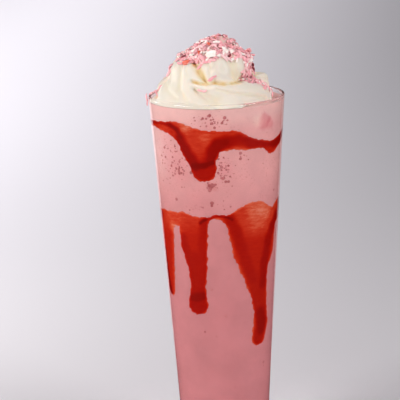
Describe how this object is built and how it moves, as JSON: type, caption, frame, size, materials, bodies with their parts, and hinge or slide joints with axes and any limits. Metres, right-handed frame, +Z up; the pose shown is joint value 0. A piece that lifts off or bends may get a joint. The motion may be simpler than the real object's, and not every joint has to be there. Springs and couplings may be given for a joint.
{
  "type": "strawberry milkshake",
  "caption": "Strawberry milkshake in a tall tapered glass, with sauce drips inside the wall, froth, and a piped cream swirl strewn with chocolate curls.",
  "frame": {"origin": "centre of the glass's foot, on the surface that it stands on", "axes": "+Z up along the glass's axis; -Y is the side that the picture shows"},
  "size_m": [0.0748, 0.0748, 0.2381],
  "materials": {
    "glass": "clear, smooth",
    "milkshake": "thick pink drink",
    "froth": "pale pink froth with fine bubbles",
    "sauce": "glossy strawberry sauce",
    "cream": "soft whipped cream"
  },
  "bodies": {
    "root": {"glass": "glass", "milkshake": "milkshake", "froth": "froth", "sauce_upper": "sauce", "sauce_lower": "sauce", "cream": "cream"}
  },
  "joints": []
}
